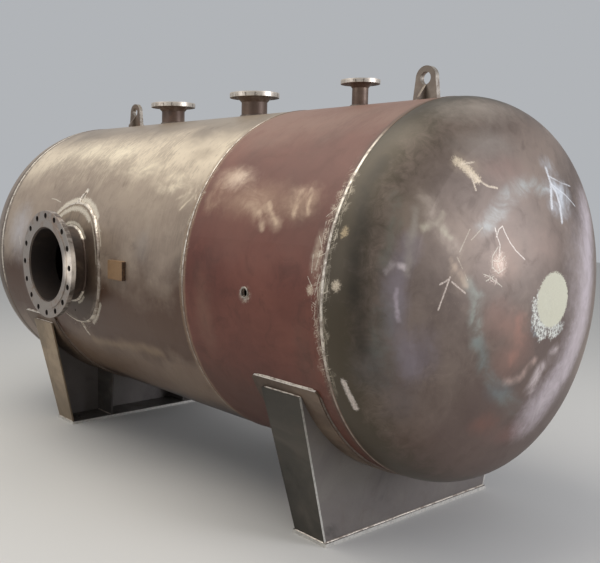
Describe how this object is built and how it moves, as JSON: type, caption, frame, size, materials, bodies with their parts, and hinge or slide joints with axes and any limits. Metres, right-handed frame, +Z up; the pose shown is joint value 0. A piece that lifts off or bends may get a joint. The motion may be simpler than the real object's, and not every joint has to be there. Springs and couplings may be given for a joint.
{
  "type": "horizontal pressure tank",
  "caption": "Bare steel horizontal pressure tank with dished ends on plate saddles, an open flanged side manhole, flanged top nozzles and lifting lugs.",
  "frame": {"origin": "floor level, under the middle of the front saddle's base plate", "axes": "+X along the tank towards the front head, +Z up, -Y towards the manhole side"},
  "size_m": [3.724, 1.7735, 2.022],
  "materials": {
    "scale_rear": "hot-rolled steel, grey-brown mill scale, brushed on top",
    "scale_front": "hot-rolled steel, red-brown scale, smooth",
    "scale_head": "hot-pressed steel, grey-brown scale with ground patches",
    "scale_head_rear": "hot-pressed steel, grey-brown scale",
    "scale_pad": "hot-rolled steel, grey-brown scale",
    "scale_neck": "steel pipe, dark brown scale",
    "weld": "bare weld bead, wire-brushed",
    "machined": "turned steel, bare",
    "pipe": "seamless steel pipe, brown scale",
    "plate": "flame-cut steel plate, bare",
    "bare_tan": "bare steel with light tan rust",
    "saddle_plate": "steel plate, grey scale, ground edges"
  },
  "bodies": {
    "root": {"shell_course_rear": "scale_rear", "shell_course_front": "scale_front", "head_rear": "scale_head_rear", "head_front": "scale_head", "girth_weld_rear": "weld", "girth_weld_middle": "weld", "girth_weld_front": "weld", "long_weld_rear": "weld", "long_weld_front": "weld", "manhole_pad": "scale_pad", "manhole_pad_weld": "weld", "manhole_neck": "scale_neck", "manhole_neck_weld": "weld", "manhole_flange": "machined", "nozzle_rear_neck": "pipe", "nozzle_rear_flange": "machined", "nozzle_middle_neck": "pipe", "nozzle_middle_flange": "machined", "nozzle_front_neck": "pipe", "nozzle_front_flange": "machined", "nozzle_welds": "weld", "lug_rear": "plate", "lug_front": "plate", "side_plate": "bare_tan", "saddle_front_wear_plate": "saddle_plate", "saddle_front_web": "saddle_plate", "saddle_front_end_ribs": "saddle_plate", "saddle_front_inner_ribs": "saddle_plate", "saddle_front_base": "saddle_plate", "saddle_rear_wear_plate": "saddle_plate", "saddle_rear_web": "saddle_plate", "saddle_rear_end_ribs": "saddle_plate", "saddle_rear_inner_ribs": "saddle_plate", "saddle_rear_base": "saddle_plate"}
  },
  "joints": []
}
